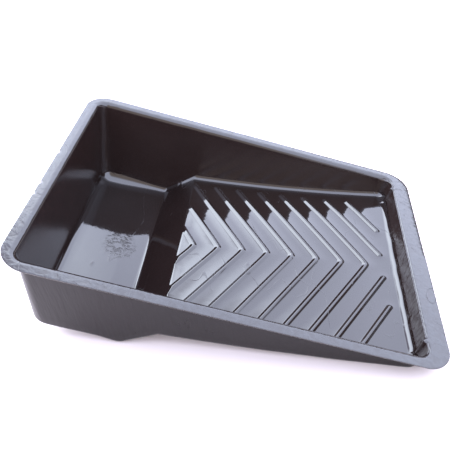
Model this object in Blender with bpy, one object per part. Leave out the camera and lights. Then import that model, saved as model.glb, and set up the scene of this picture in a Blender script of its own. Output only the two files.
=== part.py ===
"""Paint roller tray: one thermoformed sheet with a deep well, a ribbed ramp and a flat rim.

Tray coordinates: x runs from the deep end's outer rim edge to the shallow end, y across the
width, z up from the rim's upper face. The finished tray is turned about y into the pose in
which it stands by itself: on the well's rear bottom edge and the shallow end's bottom edge.
"""
import math

import bmesh
import bpy
from mathutils import Matrix, Vector
from mathutils.geometry import delaunay_2d_cdt

MM = 0.001

# Overall size (mm)
LENGTH = 380.0
WIDTH = 290.0
SHEET = 1.2

# Rim: flat flange widths and corner radii
RIM_DEEP = 6.6
RIM_SHALLOW = 16.9
RIM_SIDE = 7.8
RIM_CORNER_OUT = 25.0
RIM_CORNER_IN = 14.0
RIM_DROOP = 0.15

# Walls: fillet under the rim, taper of each wall (run per unit of depth), corner radii
TOP_CUT = 5.2
TOP_CUT_END = 2.0
DRAFT_DEEP = 0.155
DRAFT_SHALLOW = 0.08
DRAFT_SIDE = 0.14
WALL_CORNER = 9.0
WALL_CORNER_GROWTH = 0.035
FOOT_CUT = 5.6

# Floor profile along x: well, riser, gently curved ramp
WELL_DEPTH = 89.6
RISER_X = 105.0
RISER_SLOPE = 0.84
RISER_FOOT_BLEND = 2.1
RISER_TOP_BLEND = 0.94
RAMP_X0 = 156.6
RAMP_X1 = 346.8
RAMP_DEPTH0 = 60.35
RAMP_DEPTH1 = 25.3
RAMP_SAG = 2.41
RAMP_CROWN = 3.6
CROWN_X = 240.0
CROWN_HALF = 98.0
RAMP_WIDTH = 236.0

# Chevron ribs: first point, spacing, run back per unit of half width, section
RIB_FIRST = 151.0
RIB_PITCH = 25.2
RIB_FULL = 8
RIB_RAKE = 0.595
RIB_NOSE = 2.5
RIB_HEIGHT = 1.8
RIB_FLAT = 0.2
RIB_ROUND = 1.8
RIB_FOOT_ROUND = 1.5
RIB_SIDE_ANGLE = math.radians(27.0)
RIB_END_Y = 107.5
RIB_CUT_OFF_Y = (17.5, 58.0)

# Small upright ribs in the end wall that keep stacked trays apart
NUB_Y = 114.0
NUB_HALF = 3.0
NUB_TOP = 2.8
NUB_FOOT = 1.0

# Sampling
CORNER_STEPS = 6
RIB_OFFSETS = (0.4, 1.05, 3.85, 4.53)
ARM_Y = (0.0, 2.2, 5.0, 10.0, 34.0, 60.0, 84.0)
CAP_STEPS = 6

RAKE_COS = 1.0 / math.sqrt(1.0 + RIB_RAKE ** 2)
RAKE_SIN = RIB_RAKE * RAKE_COS


def rib_section(distance):
    """Height of a rib's rounded section at a distance from its centre line."""
    s = math.sin(RIB_SIDE_ANGLE)
    c = math.cos(RIB_SIDE_ANGLE)
    slope = s / c
    top_end = RIB_FLAT + RIB_ROUND * s
    straight_drop = RIB_HEIGHT - (RIB_ROUND + RIB_FOOT_ROUND) * (1.0 - c)
    side_end = top_end + straight_drop / slope
    foot_end = side_end + RIB_FOOT_ROUND * s
    d = abs(distance)
    if d <= RIB_FLAT:
        return RIB_HEIGHT
    if d <= top_end:
        return RIB_HEIGHT - RIB_ROUND + math.sqrt(RIB_ROUND ** 2 - (d - RIB_FLAT) ** 2)
    if d <= side_end:
        return RIB_HEIGHT - RIB_ROUND * (1.0 - c) - (d - top_end) * slope
    if d < foot_end:
        return RIB_FOOT_ROUND - math.sqrt(RIB_FOOT_ROUND ** 2 - (foot_end - d) ** 2)
    return 0.0


def run_back(y):
    """How far a chevron runs back at half width y; its nose is slightly rounded."""
    return RIB_RAKE * (math.sqrt(y * y + RIB_NOSE ** 2) - RIB_NOSE)


def rib_points():
    """Nose positions of all chevrons, the cut-off ones last."""
    count = RIB_FULL + len(RIB_CUT_OFF_Y)
    return [RIB_FIRST + RIB_PITCH * i for i in range(count)]


def arm_distance(x, y, nose, y_from, y_to):
    """Distance to the centre line of a chevron's arms between two half widths."""
    for y_end, way in ((y_from, -1.0), (y_to, 1.0)):
        px = x - nose + run_back(y_end)
        py = abs(y) - y_end
        if y_end > 0.0 and way * (py * RAKE_COS - px * RAKE_SIN) > 0.0:
            return math.hypot(px, py)
    return abs(x + run_back(y) - nose) * RAKE_COS


def rib_height(x, y):
    """Height of the ribs above the ramp."""
    starts = (0.0,) * RIB_FULL + RIB_CUT_OFF_Y
    return max(rib_section(arm_distance(x, y, nose, y_from, RIB_END_Y))
               for nose, y_from in zip(rib_points(), starts))


def ramp(x):
    """Ramp level without ribs."""
    s = (x - RAMP_X0) / (RAMP_X1 - RAMP_X0)
    return -(RAMP_DEPTH0 + (RAMP_DEPTH1 - RAMP_DEPTH0) * s) - RAMP_SAG * 4.0 * s * (1.0 - s)


def crown(x, y):
    """How much higher the ramp is in its middle than along the side walls."""
    along = max(0.0, 1.0 - ((x - CROWN_X) / CROWN_HALF) ** 2)
    across = max(0.0, 1.0 - (2.0 * y / RAMP_WIDTH) ** 2)
    return RAMP_CROWN * along * across


def riser(x):
    """Slanted face between the well and the ramp."""
    return -WELL_DEPTH + RISER_SLOPE * (x - RISER_X)


def soft_min(a, b, width):
    return min(a, b) - max(width - abs(a - b), 0.0) ** 2 / (4.0 * width)


def floor_level(x, y):
    """Upper face of the floor: well, riser, ramp and ribs, with rounded changes of slope."""
    level = ramp(x) + crown(x, y) + rib_height(x, y)
    top = soft_min(level, riser(x), RISER_TOP_BLEND)
    return -soft_min(-top, WELL_DEPTH, RISER_FOOT_BLEND)


def riser_top(height):
    """Where the riser meets the ramp raised by a rib height."""
    low, high = RISER_X, RAMP_X0
    for _ in range(40):
        mid = 0.5 * (low + high)
        if riser(mid) < ramp(mid) + height:
            low = mid
        else:
            high = mid
    return low


def nub(y, z):
    """Inward bulge of the end wall at the two upright ribs."""
    t = (abs(y) - NUB_Y) / NUB_HALF
    if abs(t) >= 1.0:
        return 0.0
    depth = min(1.0, max(0.0, -z / RAMP_DEPTH1))
    return (NUB_TOP + (NUB_FOOT - NUB_TOP) * depth) * (1.0 - t * t) ** 1.5


def place(sample, deep, shallow, side, radius, z):
    """Plan position of a ring sample on a rounded rectangle."""
    kind, a, b = sample
    if kind == "side":
        return Vector((a, b * side))
    if kind == "end":
        return Vector((shallow - nub(b, z), b)) if a > 0 else Vector((deep, b))
    sx, sy = a
    cx = shallow - radius if sx > 0 else deep + radius
    cy = sy * (side - radius)
    return Vector((cx + radius * math.cos(b), cy + radius * math.sin(b)))


def rim_at(sample, share):
    """Point on the flat rim, share 0 at the outer edge and 1 where the fillet starts."""
    radius = RIM_CORNER_OUT + (RIM_CORNER_IN - RIM_CORNER_OUT) * share
    p = place(sample, RIM_DEEP * share, LENGTH - RIM_SHALLOW * share,
              WIDTH / 2 - RIM_SIDE * share, radius, 0.0)
    if sample[0] == "end" and sample[1] > 0:
        p.x += nub(sample[2], 0.0) * (1.0 - 0.75 * share ** 3)
    return p


def top_cut(sample):
    """Size of the fillet under the rim: small at the shallow end."""
    kind, a, b = sample
    if kind == "end" and a > 0:
        return TOP_CUT_END
    if kind == "corner" and a[0] > 0:
        return TOP_CUT + (TOP_CUT_END - TOP_CUT) * abs(math.cos(b))
    return TOP_CUT


def wall_at(sample, z, inset=0.0):
    """Point on the inner wall face at level z, moved inwards by inset."""
    return place(
        sample,
        RIM_DEEP + TOP_CUT - DRAFT_DEEP * z + inset,
        LENGTH - RIM_SHALLOW - TOP_CUT_END + DRAFT_SHALLOW * z - inset,
        WIDTH / 2 - RIM_SIDE - TOP_CUT + DRAFT_SIDE * z - inset,
        WALL_CORNER - WALL_CORNER_GROWTH * z - inset,
        z,
    )


def foot_points(sample):
    """Corner of wall and floor, and the inner end of the foot fillet, for one ring sample."""
    z = floor_level(*wall_at(sample, -WELL_DEPTH / 2))
    for _ in range(12):
        z = floor_level(*wall_at(sample, z))
    corner = wall_at(sample, z)
    inner = wall_at(sample, z, FOOT_CUT)
    return corner.to_3d() + Vector((0, 0, z)), Vector((*inner, floor_level(*inner)))


def fillet(a, corner, b, turn, steps):
    """Points between a and b on a near-circular arc tangent to both legs of a corner."""
    w = math.cos(turn / 2)
    points = []
    for i in range(1, steps):
        t = i / steps
        ka, kc, kb = (1 - t) ** 2, 2 * t * (1 - t) * w, t * t
        points.append((a * ka + corner * kc + b * kb) / (ka + kc + kb))
    return points


def ring_samples():
    """Samples round the tray, anticlockwise from the front left corner."""
    foot = RISER_FOOT_BLEND / RISER_SLOPE
    top = riser_top(0.0)
    half = RISER_TOP_BLEND / (RISER_SLOPE - 0.12)
    xs = [42.0, 66.0, 90.0, RISER_X - foot, RISER_X, RISER_X + foot, 0.5 * (RISER_X + top)]
    xs += [top - half, top, top + half] + [158.0 + 23.5 * i for i in range(9)]
    near = [NUB_Y + NUB_HALF * t for t in (-1.0, -0.72, -0.45, -0.2, 0.0, 0.2, 0.45, 0.72, 1.0)]
    right = [-y for y in reversed(near)] + [-75.0, -30.0, 30.0, 75.0] + near
    left = [-98.0, -60.0, -20.0, 20.0, 60.0, 98.0]

    def corner(sx, sy, start):
        return [("corner", (sx, sy), start + math.pi / 2 * i / CORNER_STEPS)
                for i in range(CORNER_STEPS + 1)]

    ring = [("side", x, -1) for x in xs]
    ring += corner(1, -1, -math.pi / 2)
    ring += [("end", 1, y) for y in right]
    ring += corner(1, 1, 0.0)
    ring += [("side", x, 1) for x in reversed(xs)]
    ring += corner(-1, 1, math.pi / 2)
    ring += [("end", -1, y) for y in reversed(left)]
    ring += corner(-1, -1, math.pi)
    return ring


def column(sample):
    """All points of one ring sample, from the rim's outer edge to the floor."""
    turn = math.radians(82.0)
    outer = rim_at(sample, 0.0).to_3d() - Vector((0, 0, RIM_DROOP))
    flat = rim_at(sample, 0.45).to_3d()
    edge = rim_at(sample, 1.0).to_3d()
    top_corner = wall_at(sample, 0.0).to_3d()
    cut = top_cut(sample)
    below = wall_at(sample, -cut).to_3d() - Vector((0, 0, cut))
    foot, inner = foot_points(sample)
    above_z = foot.z + FOOT_CUT
    above = wall_at(sample, above_z).to_3d() + Vector((0, 0, above_z))
    points = [outer, flat, edge]
    points += fillet(edge, top_corner, below, turn, 3) + [below, above]
    points += fillet(above, foot, inner, turn, 3) + [inner]
    return points


def cap(nose, y_end, offset, way):
    """Half circle of plan points round the end of a rib arm."""
    points = []
    for i in range(CAP_STEPS + 1):
        t = math.pi * i / CAP_STEPS
        across, along = math.cos(t) * offset, way * math.sin(t) * offset
        points.append((nose - run_back(y_end) + across * RAKE_COS - along * RAKE_SIN,
                       y_end + across * RAKE_SIN + along * RAKE_COS))
    return points


def rib_lines():
    """Mesh lines round the ribs as lists of plan points, and those along the riser's top edge."""
    lines, edge_low, edge_high = [], [], []
    half = RISER_TOP_BLEND / (RISER_SLOPE - 0.12)
    starts = (0.0,) * RIB_FULL + RIB_CUT_OFF_Y
    for nose, y_from in zip(rib_points(), starts):
        reaches_end = nose - run_back(RIB_END_Y) > riser_top(0.0) + 6.0
        for offset in RIB_OFFSETS:
            outer, inner = nose + offset / RAKE_COS, nose - offset / RAKE_COS
            if not reaches_end:
                start = riser_top(rib_section(offset))
                for u in (outer, inner):
                    room = u - start - half
                    if room < 0.5:
                        continue
                    stop = math.sqrt((room / RIB_RAKE + RIB_NOSE) ** 2 - RIB_NOSE ** 2)
                    edge_high += [(start + half, stop), (start + half, -stop)]
                    edge_low += [(start - half, stop), (start - half, -stop)]
                    ys = [y for y in ARM_Y if y < stop - 1.5] + [stop]
                    lines.append([(u - run_back(y), y) for y in [-v for v in ys[:0:-1]] + ys])
                continue
            end = cap(nose, RIB_END_Y, offset, 1.0)
            if y_from:
                ys = [y for y in ARM_Y if y > y_from + 12.0]
                loop = [(outer - run_back(y), y) for y in ys] + end
                loop += [(inner - run_back(y), y) for y in reversed(ys)]
                loop += cap(nose, y_from, offset, -1.0)[::-1]
                loop.append(loop[0])
                lines += [loop, [(x, -y) for x, y in loop]]
                continue
            out = [(outer - run_back(y), y) for y in ARM_Y]
            back = [(inner - run_back(y), y) for y in reversed(ARM_Y)]
            half_loop = out + end + back
            lines.append(half_loop + [(x, -y) for x, y in reversed(half_loop) if y])
            lines[-1].append(lines[-1][0])
    return lines, edge_low, edge_high


def floor_mesh(ring):
    """Triangulated floor inside the ring of foot points."""
    points = [Vector((p.x, p.y)) for p in ring]
    edges = []
    lines, edge_low, edge_high = rib_lines()
    foot = RISER_FOOT_BLEND / RISER_SLOPE
    for x in (RISER_X - foot, RISER_X, RISER_X + foot):
        lines.append([(x, y) for y in (-100.0, -50.0, 0.0, 50.0, 100.0)])
    lines.append(sorted(edge_low, key=lambda p: p[1]))
    lines.append(sorted(edge_high, key=lambda p: p[1]))
    for line in lines:
        first = len(points)
        points += [Vector(p) for p in line]
        edges += [(i, i + 1) for i in range(first, len(points) - 1)]
    result = delaunay_2d_cdt(points, edges, [list(range(len(ring)))], 1, 1e-4)
    heights = [Vector((p.x, p.y, floor_level(p.x, p.y))) for p in result[0]]
    return heights, result[2]


def tray_sheet():
    """Upper face of the whole tray as one open surface, in tray coordinates."""
    columns = [column(sample) for sample in ring_samples()]
    bm = bmesh.new()
    grid = [[bm.verts.new(p * MM) for p in points] for points in columns]
    for here, there in zip(grid, grid[1:] + grid[:1]):
        for i in range(len(here) - 1):
            bm.faces.new((here[i], there[i], there[i + 1], here[i + 1]))
    heights, faces = floor_mesh([points[-1] for points in columns])
    floor = [bm.verts.new(p * MM) for p in heights]
    for face in faces:
        bm.faces.new([floor[i] for i in face])
    bmesh.ops.remove_doubles(bm, verts=bm.verts, dist=2e-6)
    bmesh.ops.recalc_face_normals(bm, faces=bm.faces)
    if sum(face.normal.z * face.calc_area() for face in bm.faces) < 0:
        bmesh.ops.reverse_faces(bm, faces=bm.faces)
    mesh = bpy.data.meshes.new("tray")
    bm.to_mesh(mesh)
    bm.free()
    return mesh


def standing_turn(points):
    """Turn about y that brings the well's and the shallow end's lowest edges to one level."""
    low, high = 0.0, math.radians(30.0)
    for _ in range(60):
        turn = 0.5 * (low + high)
        s, c = math.sin(turn), math.cos(turn)
        well = min(p.z * c - p.x * s for p in points if p.x < 0.5 * LENGTH * MM)
        end = min(p.z * c - p.x * s for p in points if p.x > 0.8 * LENGTH * MM)
        if well < end:
            low = turn
        else:
            high = turn
    return 0.5 * (low + high)


def black_plastic():
    material = bpy.data.materials.new("black_plastic")
    material.use_nodes = True
    shader = material.node_tree.nodes["Principled BSDF"]
    shader.inputs["Base Color"].default_value = (0.012, 0.011, 0.012, 1.0)
    shader.inputs["Roughness"].default_value = 0.12
    shader.inputs["Metallic"].default_value = 0.0
    return material


def make_tray():
    tray = bpy.data.objects.new("tray", tray_sheet())
    bpy.context.scene.collection.objects.link(tray)
    solid = tray.modifiers.new("sheet", "SOLIDIFY")
    solid.thickness = SHEET * MM
    solid.offset = -1.0
    solid.use_even_offset = True
    bpy.context.view_layer.update()
    shaped = tray.evaluated_get(bpy.context.evaluated_depsgraph_get())
    points = [v.co.copy() for v in shaped.data.vertices]
    turn = Matrix.Rotation(standing_turn(points), 4, "Y")
    points = [turn @ p for p in points]
    low = Vector([min(p[i] for p in points) for i in range(3)])
    high = Vector([max(p[i] for p in points) for i in range(3)])
    shift = Vector((-(low.x + high.x) / 2, -(low.y + high.y) / 2, -low.z))
    tray.data.transform(Matrix.Translation(shift) @ turn)
    for polygon in tray.data.polygons:
        polygon.use_smooth = True
    tray.data.materials.append(black_plastic())
    return tray


for item in list(bpy.data.objects):
    bpy.data.objects.remove(item, do_unlink=True)
make_tray()
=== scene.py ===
"""Paint roller tray in glossy black plastic on a pale studio floor.

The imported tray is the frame. The shown tray repeats its sheet at a much finer sampling, with a
rolled and slightly chipped rim edge and the unevenness of a formed sheet, and stands in the
same place.
Lengths are in millimetres in tray coordinates (x from the deep end's rim edge, y across, z up
from the rim) and become metres when the mesh is made.
"""
import math

import bmesh
import bpy
from mathutils import Matrix, Vector, noise
from mathutils.geometry import delaunay_2d_cdt


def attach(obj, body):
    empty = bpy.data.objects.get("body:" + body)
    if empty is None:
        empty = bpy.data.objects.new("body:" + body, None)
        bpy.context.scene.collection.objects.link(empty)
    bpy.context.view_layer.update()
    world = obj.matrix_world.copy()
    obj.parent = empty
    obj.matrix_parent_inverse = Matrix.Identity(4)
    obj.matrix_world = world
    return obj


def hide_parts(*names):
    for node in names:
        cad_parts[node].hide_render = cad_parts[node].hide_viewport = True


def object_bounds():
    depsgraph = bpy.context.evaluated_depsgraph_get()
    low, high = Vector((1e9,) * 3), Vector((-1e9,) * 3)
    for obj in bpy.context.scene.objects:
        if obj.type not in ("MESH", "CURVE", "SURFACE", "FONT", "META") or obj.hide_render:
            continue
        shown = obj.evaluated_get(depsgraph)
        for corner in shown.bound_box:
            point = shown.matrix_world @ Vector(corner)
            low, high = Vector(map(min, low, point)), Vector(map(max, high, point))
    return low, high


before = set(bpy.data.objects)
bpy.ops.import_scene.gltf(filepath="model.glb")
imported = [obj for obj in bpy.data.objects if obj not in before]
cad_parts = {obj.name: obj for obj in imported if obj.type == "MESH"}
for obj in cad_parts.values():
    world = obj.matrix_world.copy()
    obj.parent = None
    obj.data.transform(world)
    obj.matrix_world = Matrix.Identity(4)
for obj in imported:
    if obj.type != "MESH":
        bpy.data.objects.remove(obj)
cad_low, cad_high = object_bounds()

MM = 0.001

# Overall size
LENGTH = 380.0
WIDTH = 290.0
SHEET = 1.2

# Rim
RIM_DEEP = 6.6
RIM_SHALLOW = 16.9
RIM_SIDE = 7.8
RIM_CORNER_OUT = 25.0
RIM_CORNER_IN = 14.0
RIM_DROOP = 0.15
RIM_DROOP_SHARE = 0.12
RIM_SWELL = 0.05

# Rolled edge of the back rim, and chips in the deep end's edge
ROLL_DROOP = 0.45
ROLL_SHARE = 0.35
ROLL_START_X = 215.0
ROLL_BUILD_UP = 60.0
CHIP_YS = (19.0, -33.0, -50.0)
CHIP_HALF = 2.0
CHIP_DEPTH = 1.3
CHIP_SHARE = 0.3
CHIP_INSET = 0.6
CHIP_SPOTS = (-2.0, -1.2, -0.6, 0.0, 0.6, 1.2, 2.0)

# Walls
TOP_CUT = 5.2
TOP_CUT_END = 2.0
TOP_CUT_DEEP = 2.8
DRAFT_DEEP = 0.155
DRAFT_SHALLOW = 0.08
DRAFT_SIDE = 0.14
WALL_CORNER = 9.0
WALL_CORNER_GROWTH = 0.055
FOOT_CUT = 5.6
FILLET_TURN = math.radians(82.0)
WALL_WAVE = 0.25
WALL_WAVE_SCALE = 0.045
END_DENT = 0.6
END_DENT_SCALE = 0.06
END_DENT_HALF = 112.0

# Rounder foot at the well's back corner, and how far it fades along the two walls
FOOT_SWELL = 3.0
FOOT_LEAN = 4.5
FOOT_LEAN_HEIGHT = 9.0
BACK_CORNER_X = 44.0
BACK_CORNER_FADE_X = 36.0
BACK_CORNER_Y = 114.0
BACK_CORNER_FADE_Y = 16.0

# Floor profile
WELL_DEPTH = 89.6
RISER_X = 105.0
RISER_SLOPE = 0.84
RISER_FOOT_BLEND = 2.1
RISER_TOP_BLEND = 0.94
RAMP_X0 = 156.6
RAMP_X1 = 346.8
RAMP_DEPTH0 = 60.35
RAMP_DEPTH1 = 25.3
RAMP_SAG = 2.41
RAMP_CROWN = 3.6
CROWN_X = 240.0
CROWN_HALF = 98.0
RAMP_WIDTH = 236.0
RAMP_SLOPE = 0.12
FLOOR_SWELL = 0.12
FLOOR_SWELL_SCALE = 0.022
WELL_RISE = 0.9
WELL_RISE_Y = 22.0
WELL_RISE_SPREAD = 26.0

# Chevron ribs
RIB_FIRST = 151.0
RIB_PITCH = 25.2
RIB_FULL = 8
RIB_RAKE = 0.595
RIB_NOSE = 2.5
RIB_HEIGHT = 1.7
RIB_FLAT = 0.2
RIB_ROUND = 1.5
RIB_FOOT_ROUND = 1.5
RIB_SIDE_ANGLE = math.radians(33.0)
RIB_SKIRT = 0.5
RIB_SKIRT_HALF = 11.0
RIB_END_Y = 107.5
RIB_CUT_OFF_Y = (17.5, 58.0)

# Upright ribs in the end wall
NUB_Y = 114.0
NUB_HALF = 3.0
NUB_TOP = 2.8
NUB_FOOT = 1.0
NUB_ON_RIM = 0.75

# Sampling of the fine mesh: ends of the straight stretches, and steps
SIDE_X = (36.0, 352.0)
DEEP_END_Y = 106.0
RISER_END_Y = 112.0
SIDE_STEP = 4.0
CORNER_STEPS = 18
FILLET_STEPS = 9
WALL_STEPS = 10
ARC_STEPS = 4
CAP_STEPS = 12
GRID_STEP = 5.0
RIM_SHARES = (0.0, 0.035, 0.09, 0.16, 0.28, 0.45, 0.65, 0.85, 1.0)
BEND_SHARES = (-1.0, -0.5, 0.0, 0.5, 1.0)

RAKE_COS = 1.0 / math.sqrt(1.0 + RIB_RAKE ** 2)
RAKE_SIN = RIB_RAKE * RAKE_COS
EDGE_HALF = RISER_TOP_BLEND / (RISER_SLOPE - RAMP_SLOPE)
FOOT_HALF = RISER_FOOT_BLEND / RISER_SLOPE
RIB_STARTS = (0.0,) * RIB_FULL + RIB_CUT_OFF_Y
RIB_NOSES = [RIB_FIRST + RIB_PITCH * i for i in range(len(RIB_STARTS))]

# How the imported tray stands: turned about y, shallow end down
STANDING_TURN = math.radians(14.737)
RIM_NORMAL = Vector((math.sin(STANDING_TURN), 0.0, math.cos(STANDING_TURN)))


# ---------------------------------------------------------------- tray surface


def section_marks():
    """Where a rib's section changes: ends of its flat top, top round, side and foot round."""
    s, c = math.sin(RIB_SIDE_ANGLE), math.cos(RIB_SIDE_ANGLE)
    top_end = RIB_FLAT + RIB_ROUND * s
    drop = RIB_HEIGHT - (RIB_ROUND + RIB_FOOT_ROUND) * (1.0 - c)
    side_end = top_end + drop * c / s
    return top_end, side_end, side_end + RIB_FOOT_ROUND * s


def rib_section(distance):
    """Height of a rib's rounded section at a distance from its centre line."""
    top_end, side_end, foot_end = section_marks()
    d = abs(distance)
    if d <= RIB_FLAT:
        return RIB_HEIGHT
    if d <= top_end:
        return RIB_HEIGHT - RIB_ROUND + math.sqrt(RIB_ROUND ** 2 - (d - RIB_FLAT) ** 2)
    if d <= side_end:
        lost = RIB_ROUND * (1.0 - math.cos(RIB_SIDE_ANGLE))
        return RIB_HEIGHT - lost - (d - top_end) * math.tan(RIB_SIDE_ANGLE)
    if d < foot_end:
        return RIB_FOOT_ROUND - math.sqrt(RIB_FOOT_ROUND ** 2 - (foot_end - d) ** 2)
    return 0.0


def rib_skirt(distance):
    """The ramp's gentle swell towards each rib."""
    t = min(1.0, abs(distance) / RIB_SKIRT_HALF)
    return RIB_SKIRT * (1.0 - t * t) ** 2


def rib_offsets():
    """Offsets from a rib's centre line at which the mesh has lines."""
    s = math.sin(RIB_SIDE_ANGLE)
    top_end, side_end, foot_end = section_marks()
    top = [RIB_FLAT + RIB_ROUND * s * i / ARC_STEPS for i in range(ARC_STEPS + 1)]
    foot = [side_end + (foot_end - side_end) * i / ARC_STEPS for i in range(ARC_STEPS + 1)]
    return top + [0.5 * (top_end + side_end)] + foot


def run_back(y):
    """How far a chevron runs back at half width y; its nose is slightly rounded."""
    return RIB_RAKE * (math.sqrt(y * y + RIB_NOSE ** 2) - RIB_NOSE)


def arm_distance(x, y, nose, y_from):
    """Distance to the centre line of a chevron's arms, from a half width out to the arm ends."""
    for y_end, way in ((y_from, -1.0), (RIB_END_Y, 1.0)):
        px = x - nose + run_back(y_end)
        py = abs(y) - y_end
        if y_end > 0.0 and way * (py * RAKE_COS - px * RAKE_SIN) > 0.0:
            return math.hypot(px, py)
    return abs(x + run_back(y) - nose) * RAKE_COS


def rib_distance(x, y):
    return min(arm_distance(x, y, nose, start) for nose, start in zip(RIB_NOSES, RIB_STARTS))


def ramp(x):
    """Ramp level without ribs."""
    s = (x - RAMP_X0) / (RAMP_X1 - RAMP_X0)
    return -(RAMP_DEPTH0 + (RAMP_DEPTH1 - RAMP_DEPTH0) * s) - RAMP_SAG * 4.0 * s * (1.0 - s)


def crown(x, y):
    """How much higher the ramp is in its middle than along the side walls."""
    along = max(0.0, 1.0 - ((x - CROWN_X) / CROWN_HALF) ** 2)
    across = max(0.0, 1.0 - (2.0 * y / RAMP_WIDTH) ** 2)
    return RAMP_CROWN * along * across


def riser(x):
    """Slanted face between the well and the ramp."""
    return -WELL_DEPTH + RISER_SLOPE * (x - RISER_X)


def soft_min(a, b, width):
    return min(a, b) - max(width - abs(a - b), 0.0) ** 2 / (4.0 * width)


def floor_level(x, y):
    """Upper face of the floor: well, riser, ramp and ribs, with rounded changes of slope."""
    distance = rib_distance(x, y)
    level = ramp(x) + crown(x, y) + rib_section(distance) + rib_skirt(distance)
    top = soft_min(level, riser(x), RISER_TOP_BLEND)
    return -soft_min(-top, WELL_DEPTH, RISER_FOOT_BLEND) + warp(x, y)


def warp(x, y):
    """Slight unevenness of the formed floor; the well's bottom rises a little to the front."""
    well = min(1.0, max(0.0, (RISER_X - 6.0 - x) / 14.0))
    raised = WELL_RISE * (1.0 - math.tanh((y - WELL_RISE_Y) / WELL_RISE_SPREAD))
    swell = noise.noise(Vector((x * FLOOR_SWELL_SCALE, y * FLOOR_SWELL_SCALE, 3.7)))
    return FLOOR_SWELL * (1.0 + swell) + raised * well


def riser_top(height):
    """Where the riser meets the ramp raised by a rib height."""
    low, high = RISER_X, RAMP_X0
    for _ in range(40):
        mid = 0.5 * (low + high)
        if riser(mid) < ramp(mid) + height:
            low = mid
        else:
            high = mid
    return low


def nub(y, z):
    """Inward bulge of the end wall at the two upright ribs."""
    t = (abs(y) - NUB_Y) / NUB_HALF
    if abs(t) >= 1.0:
        return 0.0
    depth = min(1.0, max(0.0, -z / RAMP_DEPTH1))
    return (NUB_TOP + (NUB_FOOT - NUB_TOP) * depth) * (1.0 - t * t) ** 1.5


def place(sample, deep, shallow, side, radius, z):
    """Plan position of a ring sample on a rounded rectangle."""
    kind, a, b = sample
    if kind == "side":
        return Vector((a, b * side))
    if kind == "end":
        return Vector((shallow - nub(b, z), b)) if a > 0 else Vector((deep, b))
    sx, sy = a
    cx = shallow - radius if sx > 0 else deep + radius
    cy = sy * (side - radius)
    return Vector((cx + radius * math.cos(b), cy + radius * math.sin(b)))


def rim_at(sample, share):
    """Point on the rim, share 0 at the outer edge and 1 where the fillet starts."""
    radius = RIM_CORNER_OUT + (RIM_CORNER_IN - RIM_CORNER_OUT) * share
    p = place(sample, RIM_DEEP * share, LENGTH - RIM_SHALLOW * share,
              WIDTH / 2 - RIM_SIDE * share, radius, 0.0)
    if sample[0] == "end" and sample[1] > 0:
        p.x += nub(sample[2], 0.0) * (1.0 - NUB_ON_RIM * share ** 3)
    droop = RIM_DROOP * max(0.0, 1.0 - share / RIM_DROOP_SHARE) ** 2
    if p.y > 0.0:
        rolled = min(1.0, max(0.0, (p.x - ROLL_START_X) / ROLL_BUILD_UP))
        droop += ROLL_DROOP * rolled * max(0.0, 1.0 - share / ROLL_SHARE) ** 2
    if p.x < RIM_DEEP * CHIP_SHARE:
        nearest = min(abs(p.y - y) for y in CHIP_YS)
        inwards = max(0.0, 1.0 - share / CHIP_SHARE)
        chip = CHIP_DEPTH * math.exp(-((nearest / CHIP_HALF) ** 4)) * inwards
        droop += chip
        p.x += CHIP_INSET * chip
    droop += RIM_SWELL * noise.noise(p.to_3d() * 0.05)
    return p.to_3d() - Vector((0.0, 0.0, droop))


def top_cut(sample):
    """Size of the fillet under the rim: smaller at the two ends."""
    kind, a, b = sample
    if kind == "end":
        return TOP_CUT_END if a > 0 else TOP_CUT_DEEP
    if kind == "corner":
        at_end = TOP_CUT_END if a[0] > 0 else TOP_CUT_DEEP
        return TOP_CUT + (at_end - TOP_CUT) * abs(math.cos(b))
    return TOP_CUT


def back_corner(sample):
    """1 at the well's back corner, falling to 0 along the two walls that meet there."""
    kind, a, b = sample
    if kind == "side" and b > 0:
        away = (a - BACK_CORNER_X) / BACK_CORNER_FADE_X
    elif kind == "corner" and a == (-1, 1):
        away = 0.0
    elif kind == "end" and a < 0 and b > 0:
        away = (BACK_CORNER_Y - b) / BACK_CORNER_FADE_Y
    else:
        return 0.0
    return math.exp(-(max(0.0, away) ** 2))


def foot_cut(sample):
    """Size of the fillet at the floor: it grows towards the well's back corner."""
    return FOOT_CUT + FOOT_SWELL * back_corner(sample)


def wall_at(sample, z, inset=0.0):
    """Point on the inner wall face at level z, moved inwards by inset."""
    inset += FOOT_LEAN * back_corner(sample) * math.exp(-(WELL_DEPTH + z) / FOOT_LEAN_HEIGHT)
    p = place(
        sample,
        RIM_DEEP + TOP_CUT - DRAFT_DEEP * z + inset,
        LENGTH - RIM_SHALLOW - TOP_CUT_END + DRAFT_SHALLOW * z - inset,
        WIDTH / 2 - RIM_SIDE - TOP_CUT + DRAFT_SIDE * z - inset,
        WALL_CORNER - WALL_CORNER_GROWTH * z - inset,
        z,
    )
    held = min(1.0, -z / TOP_CUT)
    wave = WALL_WAVE * noise.noise(Vector((p.x, p.y, 2.0 * z)) * WALL_WAVE_SCALE) * held
    if sample[0] == "side":
        p.y += wave
    elif sample[0] == "end" and sample[1] > 0:
        dent = END_DENT * (1.0 + noise.noise(Vector((7.3, p.y, 0.8 * z)) * END_DENT_SCALE))
        p.x -= dent * held * max(0.0, 1.0 - (p.y / END_DENT_HALF) ** 4)
    elif sample[0] == "end":
        p.x += wave
    return Vector((p.x, p.y, z))


def foot_points(sample):
    """Corner of wall and floor, and the inner end of the foot fillet, for one ring sample."""
    z = -WELL_DEPTH / 2
    for _ in range(12):
        corner = wall_at(sample, z)
        z = floor_level(corner.x, corner.y)
    inner = wall_at(sample, z, foot_cut(sample))
    return wall_at(sample, z), Vector((inner.x, inner.y, floor_level(inner.x, inner.y)))


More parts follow.
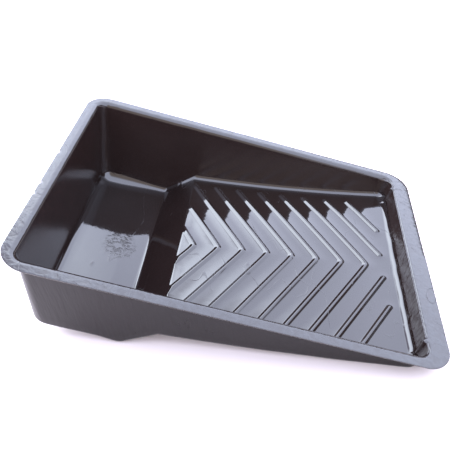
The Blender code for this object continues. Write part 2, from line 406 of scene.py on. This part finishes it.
def fillet(a, corner, b):
    """Points between a and b on a near-circular arc tangent to both legs of a corner."""
    w = math.cos(FILLET_TURN / 2)
    points = []
    for i in range(1, FILLET_STEPS):
        t = i / FILLET_STEPS
        ka, kc, kb = (1 - t) ** 2, 2 * t * (1 - t) * w, t * t
        points.append((a * ka + corner * kc + b * kb) / (ka + kc + kb))
    return points


def spread(low, high, step):
    """Evenly spaced values between two ends, both left out."""
    count = max(1, round((high - low) / step))
    return [low + (high - low) * i / count for i in range(1, count)]


def ring_samples():
    """Samples round the tray, anticlockwise from the front left corner; the bends of the floor,
    the upright ribs and the chips have their own."""
    top = riser_top(0.0)
    bends = [RISER_X + FOOT_HALF * share for share in BEND_SHARES]
    bends += [top + EDGE_HALF * share for share in BEND_SHARES]
    xs = [x for x in spread(*SIDE_X, SIDE_STEP) if min(abs(x - b) for b in bends) > 2.0]
    xs = sorted(xs + bends)
    near = [NUB_Y + NUB_HALF * i / 7 for i in range(-7, 8)]
    right = [-y for y in reversed(near)]
    right += spread(-NUB_Y + NUB_HALF, NUB_Y - NUB_HALF, SIDE_STEP) + near
    chips = [y + CHIP_HALF * spot for y in CHIP_YS for spot in CHIP_SPOTS]
    left = spread(-DEEP_END_Y, DEEP_END_Y, SIDE_STEP)
    left = sorted([y for y in left if min(abs(y - c) for c in chips) > 1.2] + chips)

    def corner(sx, sy, start):
        return [("corner", (sx, sy), start + math.pi / 2 * i / CORNER_STEPS)
                for i in range(CORNER_STEPS + 1)]

    ring = [("side", x, -1) for x in xs]
    ring += corner(1, -1, -math.pi / 2)
    ring += [("end", 1, y) for y in right]
    ring += corner(1, 1, 0.0)
    ring += [("side", x, 1) for x in reversed(xs)]
    ring += corner(-1, 1, math.pi / 2)
    ring += [("end", -1, y) for y in reversed(left)]
    ring += corner(-1, -1, math.pi)
    return ring


def column(sample):
    """All points of one ring sample, from the rim's outer edge to the floor."""
    edge = rim_at(sample, 1.0)
    foot, inner = foot_points(sample)
    above = wall_at(sample, foot.z + foot_cut(sample))
    below = wall_at(sample, -top_cut(sample))
    points = [rim_at(sample, share) for share in RIM_SHARES]
    points += fillet(edge, wall_at(sample, 0.0), below) + [below]
    points += [below.lerp(above, i / WALL_STEPS) for i in range(1, WALL_STEPS)]
    points += [above] + fillet(above, foot, inner) + [inner]
    return points


def cap(nose, y_end, offset, way):
    """Half circle of plan points round the end of a rib arm."""
    points = []
    for i in range(CAP_STEPS + 1):
        t = math.pi * i / CAP_STEPS
        across, along = math.cos(t) * offset, way * math.sin(t) * offset
        points.append((nose - run_back(y_end) + across * RAKE_COS - along * RAKE_SIN,
                       y_end + across * RAKE_SIN + along * RAKE_COS))
    return points


def arm_ys():
    """Half widths at which the lines along the ribs have points, close together at the nose."""
    return [0.0, 0.7, 1.4, 2.2, 3.2, 4.6, 6.6, 9.4] + spread(9.4, RIB_END_Y - 1.0, 6.0)


def rib_lines():
    """Mesh lines round the ribs as lists of plan points, and those along the riser's top edge."""
    lines = []
    edges = [[] for _ in BEND_SHARES]
    arm = arm_ys()
    for nose, y_from in zip(RIB_NOSES, RIB_STARTS):
        reaches_end = nose - run_back(RIB_END_Y) > riser_top(0.0) + 6.0
        for offset in rib_offsets():
            outer, inner = nose + offset / RAKE_COS, nose - offset / RAKE_COS
            if not reaches_end:
                start = riser_top(rib_section(offset))
                for u in (outer, inner):
                    room = u - start - EDGE_HALF
                    if room < 0.5:
                        continue
                    stop = math.sqrt((room / RIB_RAKE + RIB_NOSE) ** 2 - RIB_NOSE ** 2)
                    for edge, share in zip(edges, BEND_SHARES):
                        x = start + share * EDGE_HALF
                        edge += [(x, stop), (x, -stop)]
                    ys = [y for y in arm if y < stop - 0.6] + [stop]
                    lines.append([(u - run_back(y), y) for y in [-v for v in ys[:0:-1]] + ys])
                continue
            end = cap(nose, RIB_END_Y, offset, 1.0)
            if y_from:
                ys = [y for y in arm if y > y_from + 4.0]
                loop = [(outer - run_back(y), y) for y in ys] + end
                loop += [(inner - run_back(y), y) for y in reversed(ys)]
                loop += cap(nose, y_from, offset, -1.0)[::-1]
                loop.append(loop[0])
                lines += [loop, [(x, -y) for x, y in loop]]
                continue
            half_loop = [(outer - run_back(y), y) for y in arm] + end
            half_loop += [(inner - run_back(y), y) for y in reversed(arm)]
            lines.append(half_loop + [(x, -y) for x, y in reversed(half_loop) if y])
            lines[-1].append(lines[-1][0])
    for edge in edges:
        edge.sort(key=lambda p: p[1])
    return lines + edges


def grid_points(ring):
    """Plan points spread over the flats, clear of the ribs, the bends and the ring."""
    _, _, foot_end = section_marks()
    top = riser_top(0.0)
    low_x, high_x = min(p.x for p in ring) + 3.0, max(p.x for p in ring) - 3.0
    points = []
    for x in spread(low_x, high_x, GRID_STEP):
        half = min(abs(p.y) for p in ring if abs(p.x - x) < 6.0 and abs(p.y) > 90.0) - 3.0
        for y in spread(-half, half, GRID_STEP):
            if min(abs(x - RISER_X), abs(x - top)) < 4.5 or rib_distance(x, y) < foot_end + 1.2:
                continue
            points.append((x, y))
    return points


def floor_mesh(ring):
    """Triangulated floor inside the ring of foot points."""
    points = [Vector((p.x, p.y)) for p in ring]
    edges = []
    lines = rib_lines()
    for share in BEND_SHARES:
        x = RISER_X + share * FOOT_HALF
        lines.append([(x, y) for y in spread(-RISER_END_Y, RISER_END_Y, SIDE_STEP)])
    for line in lines:
        first = len(points)
        points += [Vector(p) for p in line]
        edges += [(i, i + 1) for i in range(first, len(points) - 1)]
    points += [Vector(p) for p in grid_points(ring)]
    result = delaunay_2d_cdt(points, edges, [list(range(len(ring)))], 1, 1e-4)
    heights = [Vector((p.x, p.y, floor_level(p.x, p.y))) for p in result[0]]
    return heights, result[2]


def tray_sheet():
    """Upper face of the whole tray as one open surface, in tray coordinates."""
    columns = [column(sample) for sample in ring_samples()]
    bm = bmesh.new()
    grid = [[bm.verts.new(p * MM) for p in points] for points in columns]
    for here, there in zip(grid, grid[1:] + grid[:1]):
        for i in range(len(here) - 1):
            bm.faces.new((here[i], there[i], there[i + 1], here[i + 1]))
    heights, faces = floor_mesh([points[-1] for points in columns])
    floor = [bm.verts.new(p * MM) for p in heights]
    for face in faces:
        bm.faces.new([floor[i] for i in face])
    bmesh.ops.remove_doubles(bm, verts=bm.verts, dist=2e-6)
    bmesh.ops.recalc_face_normals(bm, faces=bm.faces)
    if sum(face.normal.z * face.calc_area() for face in bm.faces) < 0:
        bmesh.ops.reverse_faces(bm, faces=bm.faces)
    mesh = bpy.data.meshes.new("tray_sheet")
    bm.to_mesh(mesh)
    bm.free()
    return mesh


def stand(mesh):
    """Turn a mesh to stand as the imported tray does, its shallow edge and highest point on the
    packed tray's box, and give the rim's level."""
    turn = Matrix.Rotation(STANDING_TURN, 4, "Y")
    mesh.transform(turn)
    top_x = max(v.co.x for v in mesh.vertices)
    top_z = max(v.co.z for v in mesh.vertices)
    shift = Vector((cad_high.x - top_x, 0.0, cad_high.z - top_z))
    mesh.transform(Matrix.Translation(shift))
    return shift.dot(RIM_NORMAL)


# ------------------------------------------------------------------- materials


class Nodes:
    """Short calls for building a node tree."""

    def __init__(self, owner, coords="Object"):
        owner.use_nodes = True
        self.tree = owner.node_tree
        self.shader = self.tree.nodes.get("Principled BSDF")
        source = self.tree.nodes.new("ShaderNodeTexCoord").outputs
        self.coords, self.normals = source[coords], source["Normal"]

    def link(self, source, target):
        self.tree.links.new(source, target)

    def scaled(self, scale, turn=(0.0, 0.0, 0.0)):
        node = self.tree.nodes.new("ShaderNodeMapping")
        node.inputs["Scale"].default_value = scale
        node.inputs["Rotation"].default_value = turn
        self.link(self.coords, node.inputs["Vector"])
        return node.outputs["Vector"]

    def noise(self, scale, detail=2.0, coords=None, distortion=0.0):
        node = self.tree.nodes.new("ShaderNodeTexNoise")
        node.inputs["Scale"].default_value = scale
        node.inputs["Detail"].default_value = detail
        node.inputs["Distortion"].default_value = distortion
        self.link(coords or self.coords, node.inputs["Vector"])
        return node.outputs["Fac"]

    def spread(self, value, low, high, to_low=0.0, to_high=1.0, smooth=False):
        node = self.tree.nodes.new("ShaderNodeMapRange")
        node.interpolation_type = "SMOOTHSTEP" if smooth else "LINEAR"
        node.inputs["From Min"].default_value = low
        node.inputs["From Max"].default_value = high
        node.inputs["To Min"].default_value = to_low
        node.inputs["To Max"].default_value = to_high
        self.link(value, node.inputs["Value"])
        return node.outputs["Result"]

    def math(self, operation, a, b):
        node = self.tree.nodes.new("ShaderNodeMath")
        node.operation = operation
        for socket, value in zip(node.inputs, (a, b)):
            if isinstance(value, float):
                socket.default_value = value
            else:
                self.link(value, socket)
        return node.outputs["Value"]

    def lines(self, scale, width, coords=None, detail=1.0):
        """Thin wandering lines: the contour of a noise at its middle level."""
        level = self.math("SUBTRACT", self.noise(scale, detail, coords), 0.5)
        away = self.math("ABSOLUTE", level, 0.0)
        return self.spread(away, 0.0, width, 1.0, 0.0)

    def mix(self, share, low, high):
        node = self.tree.nodes.new("ShaderNodeMix")
        node.data_type = "RGBA"
        factor, ends, result = node.inputs[0], (node.inputs[6], node.inputs[7]), node.outputs[2]
        for socket, colour in zip(ends, (low, high)):
            if isinstance(colour, tuple):
                socket.default_value = (*colour, 1.0)
            else:
                self.link(colour, socket)
        self.link(share, factor)
        return result

    def along(self, axis, vector=None):
        node = self.tree.nodes.new("ShaderNodeVectorMath")
        node.operation = "DOT_PRODUCT"
        node.inputs[1].default_value = axis
        self.link(vector or self.coords, node.inputs[0])
        return node.outputs["Value"]

    def lobe(self, azimuth, elevation, inner, outer):
        """1 within an angle of a bearing, falling to 0 at a wider angle."""
        near = self.along(direction(math.radians(azimuth), math.radians(elevation)))
        edge, full = math.cos(math.radians(outer)), math.cos(math.radians(inner))
        return self.spread(near, edge, full, smooth=True)

    def patch(self, centre, inner, outer):
        """1 near a point, falling to 0 further away."""
        node = self.tree.nodes.new("ShaderNodeVectorMath")
        node.operation = "DISTANCE"
        node.inputs[1].default_value = centre
        self.link(self.coords, node.inputs[0])
        return self.spread(node.outputs["Value"], inner, outer, 1.0, 0.0, smooth=True)

    def bump(self, height, distance, normal=None):
        node = self.tree.nodes.new("ShaderNodeBump")
        node.inputs["Strength"].default_value = 1.0
        node.inputs["Distance"].default_value = distance
        self.link(height, node.inputs["Height"])
        if normal:
            self.link(normal, node.inputs["Normal"])
        return node.outputs["Normal"]


PLASTIC_IOR = 1.55
# Two blacks of the one plastic: the steep walls are painted lighter than the upward flats, as
# painted light for the light that falls on them less
FLAT_PAINTED_LIGHT_BLACKS = (0.0055, 0.0032, 0.0030), (0.0082, 0.0050, 0.0047)
WALL_PAINTED_LIGHT_BLACKS = (0.0125, 0.0074, 0.0066), (0.0165, 0.0100, 0.0090)
RUBBED_BLACK = (0.0165, 0.0158, 0.0172)
SATIN_BLACKS = (0.0020, 0.0014, 0.0015), (0.0150, 0.0118, 0.0122)

# Where a little paint has dried in the well, where the shallow end's wall begins and how far
# below the rim its rubbed face ends, in metres
WELL_SPOT = (-0.133, 0.001, 0.008)
END_WALL_X = (0.150, 0.158)
RUB_DEPTHS = (0.0012, 0.0006)


def gloss_plastic(rim_level):
    """The formed sheet's upper side: glossy, with faint flow marks, fine scratches, a rubbed rim,
    a dried patch in the well and a streaky end wall; its steep walls are painted a lighter black
    than its upward flats, as painted light."""
    material = bpy.data.materials.new("black_plastic_gloss")
    n = Nodes(material)
    shader = n.shader.inputs
    shader["Metallic"].default_value = 0.0
    shader["IOR"].default_value = PLASTIC_IOR
    steep = n.spread(n.along(RIM_NORMAL, n.normals), 0.15, 0.55, 1.0, 0.0)
    patches = n.noise(28.0, 4.0)
    flat_painted_light_colour = n.mix(patches, *FLAT_PAINTED_LIGHT_BLACKS)
    wall_painted_light_colour = n.mix(patches, *WALL_PAINTED_LIGHT_BLACKS)
    rim = n.spread(n.along(RIM_NORMAL), *(rim_level - depth for depth in RUB_DEPTHS))
    rubbed = n.math("MULTIPLY", rim, n.spread(n.noise(150.0, 6.0, distortion=0.8), 0.35, 0.70))
    # Painted light: steep faces get the lighter wall black and upward faces the darker flat black
    colour = n.mix(steep, flat_painted_light_colour, wall_painted_light_colour)
    n.link(n.mix(rubbed, colour, RUBBED_BLACK), shader["Base Color"])
    broken = n.spread(n.noise(38.0, 2.0), 0.44, 0.58)
    wander = n.scaled((1.0, 0.42, 1.0), (0.0, 0.0, 0.6))
    scratches = n.math("MULTIPLY", n.lines(20.0, 0.007, wander, 2.0), broken)
    scratches = n.math("MULTIPLY", scratches, n.math("SUBTRACT", 1.0, steep))
    flakes = n.spread(n.noise(260.0, 6.0), 0.46, 0.60)
    dried = n.math("MULTIPLY", n.patch(WELL_SPOT, 0.008, 0.026), flakes)
    haze = n.spread(patches, 0.35, 0.75, 0.030, 0.060)
    haze = n.math("ADD", haze, n.math("MULTIPLY", steep, 0.15))
    end = n.math("MULTIPLY", steep, n.spread(n.along((1.0, 0.0, 0.0)), *END_WALL_X))
    roughness = n.math("ADD", haze, n.math("MULTIPLY", scratches, 0.30))
    roughness = n.math("ADD", roughness, n.math("MULTIPLY", rubbed, 0.16))
    roughness = n.math("ADD", roughness, n.math("MULTIPLY", dried, 0.34))
    n.link(roughness, shader["Roughness"])
    normal = n.bump(n.noise(34.0, 1.0), 0.00014)
    normal = n.bump(n.noise(120.0, 2.0), 0.00003, normal)
    normal = n.bump(scratches, 0.00007, normal)
    normal = n.bump(rubbed, 0.00012, normal)
    normal = n.bump(dried, 0.00013, normal)
    streaks = n.math("MULTIPLY", end, n.noise(1.0, 3.0, n.scaled((70.0, 130.0, 45.0))))
    normal = n.bump(streaks, 0.0022, normal)
    n.link(normal, shader["Normal"])
    return material


def satin_plastic():
    """The side that lay on the mould: less shine and fine upright drawing marks."""
    material = bpy.data.materials.new("black_plastic_satin")
    n = Nodes(material)
    shader = n.shader.inputs
    shader["Metallic"].default_value = 0.0
    shader["IOR"].default_value = PLASTIC_IOR
    shader["Specular IOR Level"].default_value = 0.20
    drawn = n.noise(1.0, 4.0, n.scaled((260.0, 260.0, 10.0)))
    clouds = n.math("MULTIPLY", n.noise(14.0, 3.0), 0.5)
    patches = n.math("ADD", clouds, n.math("MULTIPLY", drawn, 0.5))
    n.link(n.mix(patches, *SATIN_BLACKS), shader["Base Color"])
    haze = n.spread(patches, 0.3, 0.7, 0.22, 0.34)
    n.link(n.math("ADD", haze, n.math("MULTIPLY", drawn, 0.12)), shader["Roughness"])
    n.link(n.bump(drawn, 0.00030), shader["Normal"])
    return material


# ----------------------------------------------------------------------- tray


def make_tray():
    mesh = tray_sheet()
    rim_level = stand(mesh)
    tray = bpy.data.objects.new("tray_fine", mesh)
    bpy.context.scene.collection.objects.link(tray)
    mesh.materials.append(gloss_plastic(rim_level))
    mesh.materials.append(satin_plastic())
    for polygon in mesh.polygons:
        polygon.use_smooth = True
    solid = tray.modifiers.new("sheet", "SOLIDIFY")
    solid.thickness = SHEET * MM
    solid.offset = -1.0
    solid.material_offset = 1
    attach(tray, "root")
    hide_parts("tray")


# --------------------------------------------------------------- studio, camera

CAMERA_DISTANCE = 0.572
CAMERA_AZIMUTH = math.radians(5.26)
CAMERA_ELEVATION = math.radians(38.46)
CAMERA_ROLL = math.radians(0.65)
CAMERA_LENS = 46.9
CAMERA_SHIFT = (-0.0192, 0.0003)
CAMERA_AIM = Vector((-0.0092, -0.0123, 0.0))


def direction(azimuth, elevation):
    """Unit vector from the tray, azimuth 0 towards the viewer's side and 90 to the right."""
    return Vector((math.sin(azimuth) * math.cos(elevation),
                   -math.cos(azimuth) * math.cos(elevation),
                   math.sin(elevation)))


def make_camera(centre):
    camera = bpy.data.objects.new("camera", bpy.data.cameras.new("camera"))
    bpy.context.scene.collection.objects.link(camera)
    back = direction(CAMERA_AZIMUTH, CAMERA_ELEVATION)
    camera.location = centre + CAMERA_AIM + back * CAMERA_DISTANCE
    turn = (-back).to_track_quat("-Z", "Y").to_matrix().to_4x4()
    turn = turn @ Matrix.Rotation(-CAMERA_ROLL, 4, "Z")
    camera.rotation_euler = turn.to_euler()
    camera.data.sensor_width = 36.0
    camera.data.lens = CAMERA_LENS
    camera.data.shift_x, camera.data.shift_y = CAMERA_SHIFT
    camera.data.clip_start = 0.01
    bpy.context.scene.camera = camera


FLOOR_COLOUR = (0.68, 0.60, 0.57, 1.0)


def make_floor():
    mesh = bpy.data.meshes.new("floor")
    bm = bmesh.new()
    bmesh.ops.create_grid(bm, x_segments=1, y_segments=1, size=4.0)
    bm.to_mesh(mesh)
    bm.free()
    floor = bpy.data.objects.new("floor", mesh)
    bpy.context.scene.collection.objects.link(floor)
    material = bpy.data.materials.new("floor")
    material.use_nodes = True
    shader = material.node_tree.nodes["Principled BSDF"].inputs
    shader["Base Color"].default_value = FLOOR_COLOUR
    shader["Roughness"].default_value = 0.9
    shader["Specular IOR Level"].default_value = 0.0
    mesh.materials.append(material)


# Light tent: radiance of its roof and below it, and its soft panels as azimuth, elevation,
# the angles at which each is full and gone, and its radiance
ROOF_EDGE = (0.26, 0.36)
ROOF = (4.8, 5.2, 6.6)
BELOW = (0.34, 0.29, 0.29)
PANELS = (
    (-141.0, 50.0, 8.0, 34.0, (10.6, 11.6, 13.4)),
    (-164.0, 57.0, 7.0, 16.5, (1.8, 1.8, 2.5)),
    (98.0, 5.0, 20.0, 27.0, (0.28, 0.24, 0.24)),
    (0.0, 34.0, 12.0, 32.0, (1.9, 1.65, 1.55)),
)


def make_studio():
    """Light tent: a bright cool roof with a soft lower edge, dim below it, with a bright panel
    at the back left, a dim one beside it, a dark one at the right and a warm one in front."""
    world = bpy.data.worlds.new("studio")
    n = Nodes(world, "Generated")
    axes = n.tree.nodes.new("ShaderNodeSeparateXYZ")
    n.link(n.coords, axes.inputs["Vector"])
    light = n.mix(n.spread(axes.outputs["Z"], *ROOF_EDGE, smooth=True), BELOW, ROOF)
    for azimuth, elevation, inner, outer, radiance in PANELS:
        light = n.mix(n.lobe(azimuth, elevation, inner, outer), light, radiance)
    n.link(light, n.tree.nodes["Background"].inputs["Color"])
    bpy.context.scene.world = world
    bpy.context.scene.view_settings.view_transform = "Standard"


make_tray()
make_floor()
make_studio()
make_camera((cad_low + cad_high) / 2)
